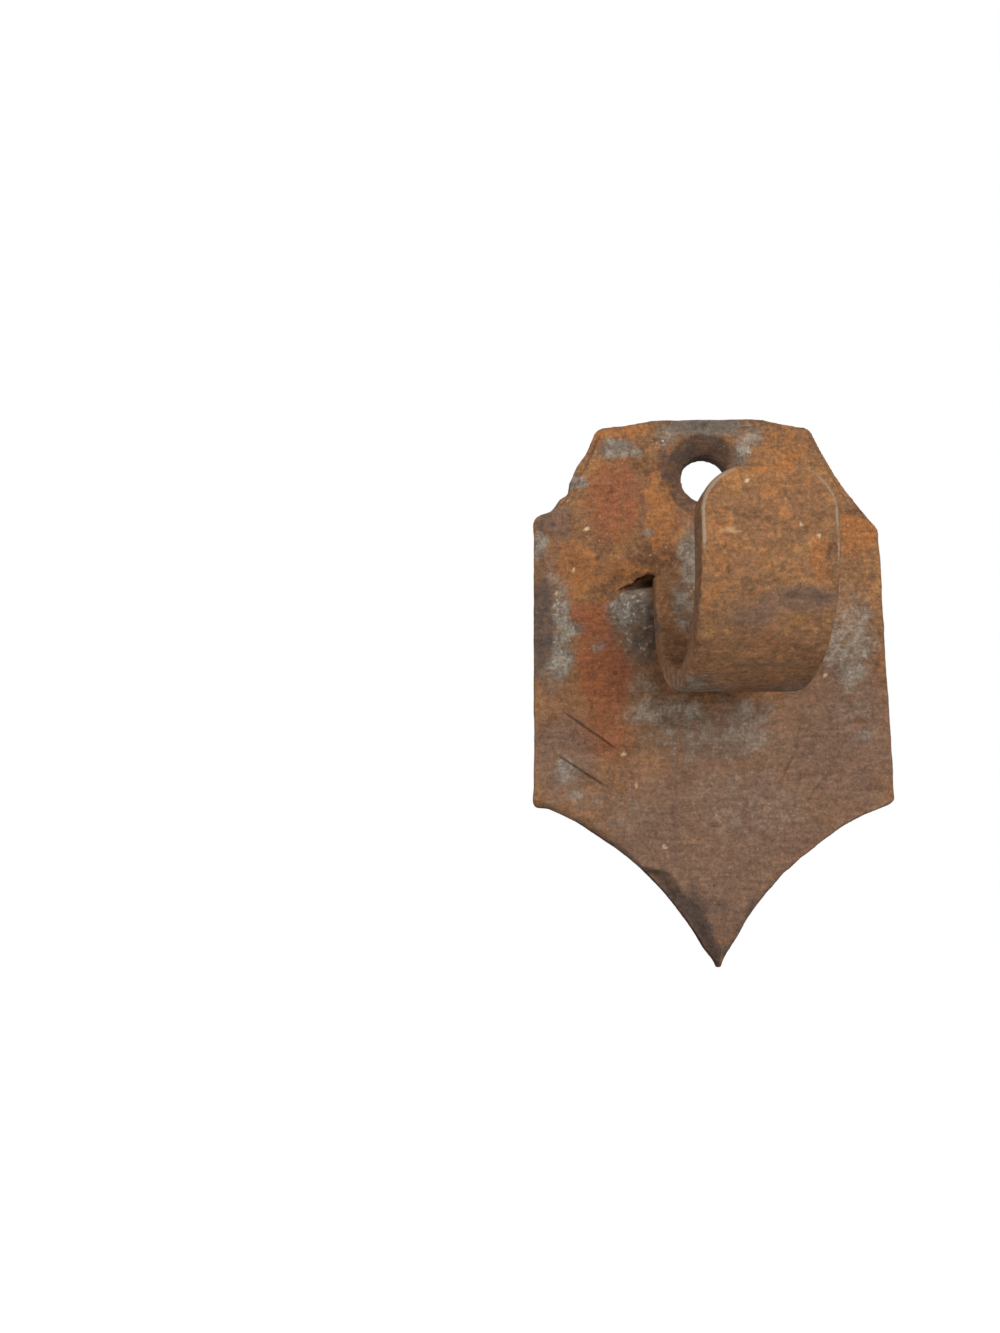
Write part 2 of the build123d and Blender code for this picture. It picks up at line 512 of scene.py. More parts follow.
class RustCoats:
    """Builds a rusted surface's nodes in coats, from the oldest rust outward."""

    def __init__(self, tree: bpy.types.NodeTree, finish: RustedIron) -> None:
        """Draw the patterns and covers that several coats share.

        Args:
            tree: the material's empty node tree.
            finish: the colours and sizes to build with.
        """
        self.add = partial(add_node, tree)
        self.finish = finish
        self.place = self.add("TexCoord", output="Object")
        self.grain = self.draw(finish.grain)
        self.fine = self.draw(finish.fine)
        self.cloud = self.draw(finish.cloud)
        self.spots = self.draw(finish.spots)
        self.pits = self.add("MapRange", (self.draw(finish.pits), 0.33, 0.25, 0.0, 1.0), **EASED)
        self.ragged = self.weigh((self.cloud, 1.8), (self.spots, 0.6), (self.grain, 0.3))
        self.scale = self.lay(Laying(StainKind.SCALE, 0.88, (-0.05, 1.05), 0.85))
        self.rubbed = self.rub()

    def build(self) -> None:
        """Lay the coats one over the other and finish the surface."""
        colour: Socket | tuple = linear(self.finish.rust_deep)
        scratched = [self.scratch(scratch) for scratch in self.finish.scratches]
        for coat in self.rust() + self.stained() + self.shaded() + self.worn(scratched):
            colour = self.add("Mix", {0: coat.cover, 6: colour, 7: coat.over}, 2,
                              data_type="RGBA", blend_type=coat.blend)
        self.surface(colour, scratched)

    def draw(self, pattern: Pattern) -> Socket:
        """Draw a pattern in the iron.

        Args:
            pattern: its size and look.

        Returns:
            Values of about 0.2 to 0.8.
        """
        place = self.place
        if pattern.squeeze < 1.0:
            place = self.add("Mapping", {"Vector": place, "Scale": (pattern.squeeze, 1.0, 1.0)})
        return self.add("TexNoise", {"Vector": place, "Scale": 1 / (pattern.size_mm * MM),
                                     "Detail": pattern.detail, "Roughness": pattern.rough,
                                     "Distortion": pattern.warp})

    def weigh(self, *parts: tuple[Socket, float]) -> Socket | float:
        """Add several values up.

        Args:
            *parts: each value and its weight.

        Returns:
            The weighted sum.
        """
        total: Socket | float = 0.0
        for value, weight in parts:
            total = self.add("Math", (value, weight, total), operation="MULTIPLY_ADD")
        return total

    def lay(self, laying: Laying) -> Socket:
        """Cover of a kind of stain, with a ragged edge.

        Args:
            laying: how the stain lies.

        Returns:
            The cover, from 0 to the most that it reaches.
        """
        soft = self.add("Attribute", output="Fac", attribute_name=laying.kind.value)
        lifted = self.add("Math", (soft, self.ragged), operation="ADD")
        lifted = self.add("Math", (lifted, self.finish.raggedness), operation="SUBTRACT")
        within = self.add("MapRange", (soft, self.finish.faintest, laying.solid, 0.0, laying.most), **EASED)
        broken = self.add("MapRange", (lifted, *laying.outline, 0.0, 1.0), **EASED)
        return self.add("Math", (within, broken), operation="MULTIPLY")

    def rub(self) -> Socket:
        """Rub the edges bare where the rust grains let it.

        Returns:
            The cover, from 0 to 1.
        """
        # on the hook, the edge attribute also carries a painted highlight along the leg's long edges
        edge = self.add("Attribute", output="Fac", attribute_name="edge")
        rough = self.weigh((edge, 1.0), (self.grain, 0.8))
        broken = self.add("MapRange", (rough, 0.7, 1.2, 0.0, 1.0), **EASED)
        near = self.add("MapRange", (edge, 0.05, 0.3, 0.0, 1.0), **EASED)
        return self.add("Math", (broken, near), operation="MULTIPLY")

    def rust(self) -> list[Coat]:
        """Mottle the rust: brown and ochre over the deep rust, then redder, yellower and olive areas.

        Returns:
            The coats, lowest first.
        """
        look = self.finish
        tone = self.weigh((self.draw(look.mottle), 0.45), (self.cloud, 0.35), (self.spots, 0.2))
        hue = self.draw(look.hue)
        spans = ((look.rust_mid, tone, (0.38, 0.5, 0.0, 1.0)),
                 (look.rust_light, tone, (0.5, 0.62, 0.0, 1.0)),
                 (look.red, hue, (0.47, 0.3, 0.0, 0.45)),
                 (look.orange, hue, (0.53, 0.7, 0.0, 0.45)),
                 (look.olive, self.spots, (0.46, 0.3, 0.0, 0.5)))
        return [Coat(linear(colour), self.add("MapRange", (value, *span), **EASED))
                for colour, value, span in spans]

    def stained(self) -> list[Coat]:
        """Lay the stains that the skin carries, with the grey scale lighter where it is rubbed.

        Returns:
            The coats, lowest first.
        """
        look = self.finish
        soft = (0.1, 0.9)
        young = [Coat(linear(look.orange), self.lay(Laying(StainKind.ORANGE, 0.75, soft))),
                 Coat(linear(look.red), self.lay(Laying(StainKind.RED, 0.8, soft))),
                 Coat(linear(look.plum), self.lay(Laying(StainKind.PLUM, 0.7, soft)))]
        lighter = self.add("MapRange", (self.cloud, 0.42, 0.62, 0.0, 1.0), **EASED)
        grey = self.add("Mix", {0: lighter, 6: linear(look.scale), 7: linear(look.scale_light)}, 2,
                        data_type="RGBA")
        # forge scale, and painted shade where the stains put it
        darkened = self.lay(Laying(StainKind.CHAR_AND_SHADE, 0.9, (0.1, 0.8)))
        return young + [Coat(grey, self.scale), Coat(linear(look.char), darkened)]

    def shaded(self) -> list[Coat]:
        """Lighten and darken the colour below by the streaks, spots and grains.

        Returns:
            The coats, lowest first.
        """
        shares = ((self.draw(self.finish.streaks), 0.85, 1.15), (self.spots, 0.88, 1.12),
                  (self.grain, 0.8, 1.2), (self.fine, 0.83, 1.17))
        return [Coat(self.add("MapRange", (value, 0.3, 0.7, low, high), **EASED), 1.0, "MULTIPLY")
                for value, low, high in shares]

    def worn(self, scratched: list[Socket]) -> list[Coat]:
        """Painted glints, flecks, pits, rubbed edges, painted shade in hollows and scratches.

        Args:
            scratched: cover of each scratch.

        Returns:
            The coats, lowest first.
        """
        look = self.finish
        crystals = self.draw(look.crystals)
        # painted highlights: pale glints where the glint attribute lies
        torn = self.add("Attribute", output="Fac", attribute_name=StainKind.GLINT.value)
        bright = self.add("MapRange", (crystals, 0.56, 0.72, 0.0, 1.0), **EASED)
        painted_sparkle = self.add("Math", (bright, torn), operation="MULTIPLY")
        strewn = self.add("MapRange", (crystals, 0.7, 0.78, 0.0, 0.4), **EASED)
        single = self.add("Attribute", output="Fac", attribute_name=StainKind.SPECK.value)
        flecks = self.add("Math", (strewn, single), operation="MAXIMUM")
        # painted shade of the hollows and the seam
        painted_shade = self.add("Attribute", output="Fac", attribute_name=StainKind.PAINTED_SHADE.value)
        coats = [Coat(linear(look.glint), painted_sparkle), Coat(linear(look.fleck), flecks)]
        for colour, cover, share in ((look.soot, self.pits, 0.35), (look.worn, self.rubbed, 0.8),
                                     (look.soot, painted_shade, 1.0), *((look.soot, line, 0.6) for line in scratched)):
            coats.append(Coat(linear(colour), self.add("Math", (cover, share), operation="MULTIPLY")))
        return coats

    def scratch(self, scratch: Scratch) -> Socket:
        """Cover of one scratch: its strength along its line on the front face, 0 elsewhere.

        Args:
            scratch: where the line runs.

        Returns:
            The cover.
        """
        start, end = Vector(scratch.start), Vector(scratch.end)
        run = end - start
        middle = (start + end) / 2 * MM
        shifted = self.add("VectorMath", (self.place, (middle[0], 0.0, middle[1])), operation="SUBTRACT")
        laid = self.add("VectorRotate", {"Vector": shifted, "Angle": math.atan2(run[1], run[0])},
                        rotation_type="Y_AXIS")
        half, width = run.length / 2 * MM, scratch.width * MM
        cover: Socket | float = scratch.strength
        for axis, reach, full in (("X", half, half * 0.6), ("Z", width, width * 0.2)):
            away = self.add("Math", (self.add("SeparateXYZ", (laid,), axis),), operation="ABSOLUTE")
            fades = self.add("MapRange", (away, reach, full, 0.0, 1.0), **EASED)
            cover = self.add("Math", (fades, cover), operation="MULTIPLY")
        facing = self.add("SeparateXYZ", (self.add("NewGeometry", output="True Normal"),), "Y")
        front = self.add("MapRange", (facing, -0.5, -0.8, 0.0, 1.0), **EASED)
        return self.add("Math", (cover, front), operation="MULTIPLY")

    def surface(self, colour: Socket, scratched: list[Socket]) -> None:
        """Join colour, relief and sheen into the surface.

        Args:
            colour: the coats' colour.
            scratched: cover of each scratch, which is cut into the relief.
        """
        look = self.finish
        height = self.weigh((self.grain, look.grain_depth_mm), (self.fine, look.grain_depth_mm * 0.5),
                            (self.pits, -look.pit_depth_mm),
                            *((line, -look.scratch_depth_mm) for line in scratched))
        half_scale = self.add("Math", (self.scale, 0.5), operation="MULTIPLY")
        bare = self.add("Math", (half_scale, self.rubbed), operation="MAXIMUM")
        sheen = self.add("MapRange", (bare, 0.0, 1.0, look.crust_roughness, look.bare_roughness), **EASED)
        shader = self.add("BsdfPrincipled", {
            "Base Color": colour,
            "Roughness": sheen,
            "Metallic": self.add("Math", (bare, look.bare_metal), operation="MULTIPLY"),
            "Specular IOR Level": look.dull,
            "Normal": self.add("Bump", {"Strength": 1.0, "Distance": MM, "Height": height})})
        self.add("OutputMaterial", {"Surface": shader}, None)


# ---------------------------------------------------------------------------------------------
# Pieces
# ---------------------------------------------------------------------------------------------

@dataclass
class Forging:
    """A forged piece that covers one node of the frame.

    A pair of numbers is where a ramp starts and where it is full, unless a comment says otherwise.
    """

    node: str
    name: str
    slot: str
    voxel: float = 0.4                # width of the skin's faces
    stains: tuple[Stain, ...] = ()
    stray: Relief = Relief(4.0, 1.4, 5, 3)                     # drags a stain's outline about
    crumble: Relief = Relief(0.8, 0.5, 8)                      # the same for single crystals
    facing_span: tuple[float, float] = (0.35, -0.1)            # a normal's y, from the back to the front
    leg_span: tuple[float, float] = (-34.0, -38.0)             # beyond this lies the bar's front leg
    scatter_size: float = 16.0        # width of the stains on the back and sides
    scatter_seed: int = 21
    scatter_span: tuple[float, float] = (0.2, 0.6)
    hammered: Relief = Relief(11.0, 0.12, 41, 3)
    crust: Relief = Relief(2.8, 1.0, 42, 3)
    crust_height: float = 0.05
    crust_behind: float = 0.07        # added towards the wall, where nothing has rubbed it
    behind: tuple[float, float] = (-20.0, -9.0)
    pitted: Relief = Relief(1.2, 0.035, 43)
    ironing: int = 5                  # rounds that take out the remesh's steps
    bend_rounds: int = 3              # voxels over which edges and hollows are felt
    sharp: float = 0.07               # bend of a full edge
    deep: float = 0.1                 # bend of a full hollow
    rubbed: float = 0.3               # how bare a full edge is
    hollow_shade: float = 0.7                # how dark the painted shade of a full hollow is
    marks: dict[StainKind, np.ndarray] = field(default_factory=dict)

    def shape(self, skin: Skin) -> None:
        """Work the skin into the piece's own shape."""
        raise NotImplementedError

    def mark(self, kind: StainKind, cover: np.ndarray) -> None:
        """Add to a stain, or to painted shade, that follows from the piece's worked shape."""
        self.marks[kind] = np.maximum(self.marks.get(kind, 0.0), cover)

    def edge_wear(self, skin: Skin) -> np.ndarray:
        """How much each point has been rubbed bare, from 0 to 1."""
        edges = np.clip(skin.edge_bend(self.bend_rounds) / self.sharp, 0.0, 1.0)
        return self.rubbed * skin.spread(edges, 1)

    def build(self) -> Skin:
        """Cover the node, work the skin and carry its wear, the painted shade of its hollows and its stains.

        Returns:
            The finished skin.
        """
        skin = Skin(self.node, self.name, self.voxel)
        skin.iron_out(self.ironing)
        self.shape(skin)
        self.roughen(skin)
        skin.points[:, 1] = np.minimum(skin.points[:, 1], 0.0)
        skin.carry("edge", self.edge_wear(skin))
        # painted shade: the hollows are darkened
        hollows = np.clip(-skin.edge_bend(self.bend_rounds) / self.deep, 0.0, 1.0)
        self.mark(StainKind.PAINTED_SHADE, skin.spread(hollows, 2) * self.hollow_shade)
        self.carry_stains(skin)
        skin.write()
        skin.piece.data.shade_smooth()
        return skin

    def roughen(self, skin: Skin) -> None:
        """Give the skin the uneven hammered and rusted surface that both forgings share.

        Args:
            skin: the skin to work.
        """
        skin.push(self.hammered.over(skin.points))
        behind = smooth_step(skin.points[:, 1], *self.behind)
        skin.push(self.crust.over(skin.points) * (self.crust_height + self.crust_behind * behind))
        skin.push(self.pitted.over(skin.points))

    def carry_stains(self, skin: Skin) -> None:
        """Lay the stains on the front, scatter others over the rest and add the worked marks, painted shade
        among them.

        Args:
            skin: the worked skin.
        """
        front = smooth_step(skin.normals()[:, 1], *self.facing_span)
        on_leg = smooth_step(skin.points[:, 1], *self.leg_span)
        reach = {Layer.LEG: on_leg, Layer.FACE: 1.0 - on_leg}
        strayed = self.stray.drag(skin.points)
        crumbled = self.crumble.drag(skin.points)
        for seed, kind in enumerate(StainKind, start=self.scatter_seed):
            at = crumbled if kind is StainKind.SPECK else strayed
            cover = np.zeros(len(skin.points))
            for stain in self.stains:
                if stain.kind is kind:
                    cover = np.maximum(cover, stain.cover(at) * reach[stain.layer])
            if kind in ALL_ROUND:
                lumps = Relief(self.scatter_size, 1.0, seed, 3).over(skin.points)
                scattered = smooth_step(lumps, *self.scatter_span) * (1.0 - front)
                cover = np.maximum(cover * front, scattered)
            skin.carry(kind.value, np.maximum(cover, self.marks.get(kind, 0.0)))

    def dress(self, skin: Skin, finish: RustedIron) -> None:
        """Give the piece its finish and fix it to the frame.

        Args:
            skin: the finished skin.
            finish: what the piece is made of.
        """
        skin.piece.data.materials.append(finish.build())
        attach(skin.piece, ROOT_BODY)
        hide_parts(self.node)
        LOG.info("%s: %d faces over %s", self.name, len(skin.piece.data.polygons), self.node)


@dataclass(frozen=True)
class Bevel:
    """Bevel along one of the plate's two foot arcs."""

    side: int                         # -1 is the left one
    width: float                      # near the point
    dark: float                       # how burnt it is


@dataclass(frozen=True)
class Shove:
    """A blow or a draw of the hammer that has moved the plate's edge."""

    x: float
    z: float
    reach: tuple[float, float]        # distance that is not moved, and distance that is fully
    force: float
    right: float = 0.0                # share of the force that way
    up: float = 0.0
    back: float = 0.0                 # only of what stands more than 1 mm off the wall

    def work(self, skin: Skin) -> None:
        """Move the skin.

        Args:
            skin: the skin to work.
        """
        moved = self.force * smooth_step(wall_distance(skin.points, self.x, self.z), *self.reach)
        skin.points[:, 0] += moved * self.right
        skin.points[:, 2] += moved * self.up
        skin.points[:, 1] += moved * self.back * (skin.points[:, 1] < -1.0)


@dataclass
class ShieldPlate(Forging):
    """Wall plate cut to a shield, hammered, with a bevel along the hollow feet."""

    bore: float = 4.9
    bore_burnt: tuple[float, float] = (0.9, 0.3)               # beyond the bore
    bore_dark: float = 0.8
    foot_drop: float = 66.6           # bottom corners below the hole axis
    foot_hollow: float = 4.7          # how far each foot arc is let in
    tip_half_width: float = 0.7
    tip_length: float = 4.0           # how much of the point is drawn in
    tip_drawn: float = 0.45           # share of its width that is lost
    tip_bent: float = 0.25            # how far it leans to the right
    sideways: Relief = Relief(9.0, 0.16, 31, 3)                # how the cut outline wanders
    upward: Relief = Relief(9.0, 0.16, 32, 3)
    bevels: tuple[Bevel, ...] = (Bevel(-1, 3.6, 0.95), Bevel(1, 1.7, 0.4))
    bevel_slope: float = 0.7
    bevel_deepest: float = 1.9
    bevel_ridge: Relief = Relief(3.2, 0.9, 37, 3)              # how unevenly its ridge runs
    bevel_narrow: float = 0.38        # share of its width away from the point
    bevel_start: tuple[float, float] = (-78.9, -80.3)          # it widens here, abruptly
    bevel_middle: tuple[float, float] = (-1.5, 0.5)            # each bevel begins about the middle line
    burnt_depth: tuple[float, float] = (0.1, 0.9)              # depth of the bevel that is burnt
    burnt_usual: float = 0.85         # share of the darkness between the patches
    burnt_patches: Relief = Relief(3.0, 0.5, 39, 3)
    burnt_high: float = 0.48          # share of the darkness away from the point
    burnt_from: tuple[float, float] = (-81.0, -84.5)
    shoves: tuple[Shove, ...] = (
        Shove(-29.2, -2.2, (2.2, 0.0), 0.5, 1.0, -0.8, 1.0),   # nick broken into the left shoulder
        Shove(-35.8, -66.6, (3.4, 0.4), 0.7, -0.35, -1.0),     # bottom left corner, drawn out
        Shove(-34.4, -8.4, (3.6, 0.0), 1.5, -0.8, 0.6),        # swellings beside the nick
        Shove(-25.8, 2.6, (3.6, 0.0), 0.6, -0.8, 0.6))
    seam_start: float = 10.0          # the seam's hollow runs from here
    seam_length: float = 9.5
    seam_height: float = -21.7
    seam_fall: float = 2.0            # from its start to its end
    seam_half_height: float = 1.5
    seam_depth: float = 1.0
    # painted shade in the seam's hollow
    seam_shade: float = 0.95
    swell_start: float = 11.0         # the plate swells forward under the lip from here
    swell_height: float = -21.0
    swell_fall: float = 2.8
    swell_gap: float = 0.1            # below the lip
    swell_drop: float = 1.15          # further down beside the bar
    swell_height_in: tuple[float, float] = (0.0, -1.2)
    swell_height_out: tuple[float, float] = (-11.0, -2.0)
    swell_side: tuple[float, float] = (20.5, 13.0)
    swell_depth: float = 2.3
    torn: Relief = Relief(1.6, 1.0, 38, 3)
    torn_middle: tuple[float, float] = (14.5, -30.0)           # x and z
    torn_half_size: tuple[float, float] = (6.0, 9.0)           # in x and z
    torn_fade: tuple[float, float] = (1.3, 0.3)                # in half sizes
    torn_depth: float = 0.5
    buckled: Relief = Relief(17.0, 0.12, 33)
    blows: Blows = Blows(110, 5.5, 0.16, 34)

    def shape(self, skin: Skin) -> None:
        """Cut, bevel, nick and hammer the plate.

        Args:
            skin: the skin to work.
        """
        low, high = node_box_mm(self.node)
        front_side = smooth_step(skin.points[:, 1], low[1] * 0.4, low[1] * 0.7)
        for bevel in self.bevels:
            self.cut_bevel(skin, bevel, high[0], low[2], front_side)
        self.sharpen_point(skin, low[2])
        outline = skin.points * IN_WALL
        skin.points[:, 0] += self.sideways.over(outline)
        skin.points[:, 2] += self.upward.over(outline)
        for shove in self.shoves:
            shove.work(skin)
        self.open_seam(skin, front_side)
        self.swell_below(skin, front_side)
        skin.points[:, 1] += self.buckled.over(skin.points)
        skin.strike(self.blows)
        beyond = wall_distance(skin.points) - self.bore
        self.mark(StainKind.CHAR_AND_SHADE, self.bore_dark * smooth_step(beyond, *self.bore_burnt))

    def cut_bevel(self, skin: Skin, bevel: Bevel, half_width: float, tip: float,
                  front_side: np.ndarray) -> None:
        """Dress the front of a foot arc down to a ragged bevel.

        Args:
            skin: the skin to work.
            bevel: which arc, how wide and how dark.
            half_width: of the plate at its bottom corners.
            tip: height of the point.
            front_side: 1 on the front of the plate, 0 on its back.
        """
        corner = (bevel.side * half_width, -self.foot_drop)
        point = (bevel.side * self.tip_half_width, tip)
        ends = (point, corner) if bevel.side > 0 else (corner, point)
        inward = Circle.through_chord(*ends, self.foot_hollow).outside(skin.points)
        here = smooth_step(skin.points[:, 0] * bevel.side, *self.bevel_middle) * front_side
        near_point = smooth_step(skin.points[:, 2], *self.bevel_start)
        width = bevel.width * (self.bevel_narrow + (1.0 - self.bevel_narrow) * near_point)
        sunk = np.clip(width + self.bevel_ridge.over(skin.points * IN_WALL) - inward, 0.0, None)
        skin.points[:, 1] += np.clip(sunk * self.bevel_slope, 0.0, self.bevel_deepest) * here
        darkened = smooth_step(skin.points[:, 2], *self.burnt_from)
        share = bevel.dark * (self.burnt_high + (1.0 - self.burnt_high) * darkened)
        patchy = self.burnt_usual + self.burnt_patches.over(skin.points)
        self.mark(StainKind.CHAR_AND_SHADE, smooth_step(sunk, *self.burnt_depth) * here * share * patchy)

    def sharpen_point(self, skin: Skin, tip: float) -> None:
        """Draw the blunt point in to a worn, slightly bent tip.

        Args:
            skin: the skin to work.
            tip: height of the point.
        """
        close = smooth_step(skin.points[:, 2], tip + self.tip_length, tip)
        skin.points[:, 0] *= 1.0 - self.tip_drawn * close
        skin.points[:, 0] += self.tip_bent * close

    def open_seam(self, skin: Skin, front_side: np.ndarray) -> None:
        """Hollow the plate under the open ends of the weld seam, and paint shade into the hollow.

        Args:
            skin: the skin to work.
            front_side: 1 on the front of the plate, 0 on its back.
        """
        along = (np.abs(skin.points[:, 0]) - self.seam_start) / self.seam_length
        run = np.clip(along, 0, 1)
        middle = self.seam_height - self.seam_fall * run
        off = (skin.points[:, 2] - middle) / (self.seam_half_height * (1.1 - run))
        hollow = smooth_step(np.abs(off), 1.0, 0.2) * smooth_step(along, 1.0, 0.2)
        hollow = hollow * smooth_step(along, -0.5, -0.1)
        skin.points[:, 1] += self.seam_depth * hollow * front_side
        # painted shade in the seam's hollow
        self.mark(StainKind.PAINTED_SHADE, self.seam_shade * hollow * front_side)

    def swell_below(self, skin: Skin, front_side: np.ndarray) -> None:
        """Leave the plate raised and torn below the seam.

        Args:
            skin: the skin to work.
            front_side: 1 on the front of the plate, 0 on its back.
        """
        x, z = np.abs(skin.points[:, 0]), skin.points[:, 2]
        beyond = np.clip((x - self.swell_start) / self.seam_length, 0.0, 1.0)
        below = z - self.swell_height + self.swell_fall * beyond + self.swell_gap
        below = below + self.swell_drop * (1.0 - beyond)
        swell = smooth_step(below, *self.swell_height_in) * smooth_step(below, *self.swell_height_out)
        swell *= smooth_step(x, *self.swell_side)
        skin.points[:, 1] -= self.swell_depth * swell * front_side
        away = np.hypot((x - self.torn_middle[0]) / self.torn_half_size[0],
                        (z - self.torn_middle[1]) / self.torn_half_size[1])
        rough = self.torn.over(skin.points) * smooth_step(away, *self.torn_fade)
        skin.points[:, 1] += self.torn_depth * rough * front_side


@dataclass
class HookBar(Forging):
    """Flat bar bent up into a hook, with its spread end welded over the plate's head."""

    voxel: float = 0.32
    plate_front: float = -3.2
    bar_half_width: float = 11.0
    bar_foot: float = -21.5           # below this or in front of bar_front, iron belongs to the bar
    bar_front: float = -8.5
    root_span: tuple[float, float] = (-30.0, -6.0)             # the bar widens towards its root
    root_wider: float = 0.045
    end_narrower: float = 0.012
    end_shift: float = 0.3            # the free end leans to the right
    palm_depth: float = 3.6
    palm_full: float = 15.0           # half width over which the frame's palm keeps its depth
    palm_edge: float = 0.5            # its depth at the plate's sides
    seam_end: float = 20.5            # outer end of the open seam, to each side
    lip: float = -23.8                # lip's height there
    lip_rise: float = 2.8             # how much higher it is beside the bar
    lip_span: tuple[float, float] = (2.4, 0.4)                 # how far from its edge the lip is lumpy
    lip_smooth: float = 0.3           # share of the lumps that the right side has
    lip_sag: Relief = Relief(2.2, 1.3, 153)                    # lumps along its edge
    lip_lumps: Relief = Relief(2.2, 0.6, 64)                   # and out of its face
    wing_foot: float = -13.0          # wing's lower edge at the plate's side
    wing_side: float = 35.5
    thin_from: float = 30.0           # half width from which the palm is thinnest
    thin_side: float = 0.1            # share of its depth that it keeps there
    shut_span: tuple[float, float] = (2.0, 16.0)               # how far up from its foot a wing is shut
    sunk_edge: float = 0.8            # feathered edge below the plate's face, fused with it
    shut_cover: float = 0.2           # iron that still lies over that edge
    weld_rounds: int = 70             # how softly the root runs into the palm
    weld_share: float = 0.6
    weld_side: tuple[float, float] = (15.5, 12.5)
    weld_hole: tuple[float, float] = (8.6, 10.0)               # clear of the hole
    weld_foot: tuple[float, float] = (-26.0, -21.0)
    weld_top: tuple[float, float] = (-6.0, -9.0)
    weld_depth: tuple[float, float] = (-9.5, -5.2)             # only between these
    weld_lip: tuple[float, float] = (-22.6, -20.0)
    mouth: float = 8.1                # hole's radius at the palm's face
    mouth_reach: tuple[float, float] = (11.5, 8.6)             # where the rim is worn
    mouth_inner: tuple[float, float] = (6.2, 8.0)
    mouth_wider: float = 0.25
    mouth_left: float = 0.5           # wider still to the left
    mouth_left_span: tuple[float, float] = (2.0, -7.0)
    mouth_rough: Relief = Relief(5.0, 0.45, 61)
    mouth_round: float = 0.35         # how far the rim is rubbed back
    wall_stray: Relief = Relief(2.5, 0.5, 62, 3)
    wall_dark: float = 0.46
    wall_dark_top: float = 0.22       # painted shade, darker still towards the top
    wall_top_span: tuple[float, float] = (-2.0, 5.0)
    wall_bared: float = 0.6           # share of the darkness that the right side has lost
    wall_bared_span: tuple[float, float] = (2.0, 6.5)
    line_span: tuple[float, float] = (-36.0, -28.0)            # heights of the bright edge line, rubbed wear and painted highlight
    line_front: tuple[float, float] = (-45.5, -46.5)
    line_left: tuple[float, float] = (-31.0, -24.0)            # the left one shows mostly up here
    line_left_more: float = 0.3
    line_left_low: float = 0.35       # share of it further down
    line_in: tuple[float, float] = (0.04, 0.2)                 # a normal's x, from the face to the rounding
    line_out: tuple[float, float] = (0.85, 0.55)               # and from the side to the rounding
    line_bright: float = 0.6
    line_broken: Relief = Relief(3.0, 0.6, 51)
    side_facing: tuple[float, float] = (0.6, 0.9)
    side_front: tuple[float, float] = (-38.0, -41.0)           # the bar's sides are darker beyond this
    side_dark: float = 0.34
    blows: Blows = Blows(80, 5.0, 0.14, 44)

    def shape(self, skin: Skin) -> None:
        """Feather the palm, ease the bar and leave the hammer's marks.

        Args:
            skin: the skin to work.
        """
        self.feather_palm(skin)
        self.ease_root(skin)
        self.wear_mouth(skin)
        on_bar = (skin.points[:, 2] < self.bar_foot) | (skin.points[:, 1] < self.bar_front)
        root = smooth_step(skin.points[:, 1], *self.root_span)
        wider = self.root_wider * root - self.end_narrower * (1.0 - root)
        skin.points[:, 0] *= 1.0 + wider * on_bar
        skin.points[:, 0] += self.end_shift * (1.0 - root) * on_bar
        skin.strike(self.blows)

    def feather_palm(self, skin: Skin) -> None:
        """Thin each wing of the palm until it runs out flush with the plate, and leave the lip lumpy.

        Args:
            skin: the skin to work.
        """
        x = np.abs(skin.points[:, 0])
        z = skin.points[:, 2]
        along = np.array([self.wing_side - self.seam_end, self.wing_foot - self.lip])
        across = np.array([-along[1], along[0]]) / np.hypot(*along)
        inside = (x - self.seam_end) * across[0] + (z - self.lip) * across[1] + 2.0
        sideways = 1.0 - (1.0 - self.thin_side) * smooth_step(x, self.bar_half_width, self.thin_from)
        closing = smooth_step(x, self.bar_half_width + 1.0, self.seam_end)
        shut = closing * (1.0 - smooth_step(inside, *self.shut_span))
        base = -self.sunk_edge * smooth_step(x, self.bar_half_width + 2.0, self.seam_end)
        face = self.palm_depth * sideways * (1.0 - shut) + (base + self.shut_cover) * shut
        given = np.interp(x, (self.palm_full, self.wing_side), (self.palm_depth, self.palm_edge))
        height = self.plate_front - skin.points[:, 1]
        on_palm = (height < self.palm_depth + 0.3) & (x > self.bar_half_width)
        worked = self.plate_front - base - height * (face - base) / given
        lip = np.interp(x, (self.bar_half_width, self.seam_end), (self.lip + self.lip_rise, self.lip))
        lumpy = smooth_step(np.abs(z - lip), *self.lip_span) * on_palm * (x < self.seam_end + 1.0)
        lumpy = lumpy * np.where(skin.points[:, 0] < 0, 1.0, self.lip_smooth)
        skin.points[:, 1] = np.where(on_palm, worked, skin.points[:, 1])
        skin.points[:, 2] += lumpy * self.lip_sag.over(skin.points * (1, 0, 0))
        skin.points[:, 1] += lumpy * self.lip_lumps.over(skin.points)

    def ease_root(self, skin: Skin) -> None:
        """Blend the bar's root into the palm, as the hammer and the weld leave it.

        Args:
            skin: the skin to work.
        """
        x, y, z = np.abs(skin.points[:, 0]), skin.points[:, 1], skin.points[:, 2]
        near = smooth_step(x, *self.weld_side) * smooth_step(wall_distance(skin.points), *self.weld_hole)
        near *= smooth_step(z, *self.weld_foot) * smooth_step(z, *self.weld_top)
        near *= (y > self.weld_depth[0]) & (y < self.weld_depth[1])
        lip = smooth_step(z, *self.weld_lip)
        beside = smooth_step(x, self.bar_half_width + 1.0, self.bar_half_width - 1.0)
        share = near * np.maximum(lip, beside) * self.weld_share
        skin.smooth(self.weld_rounds, share[:, None])

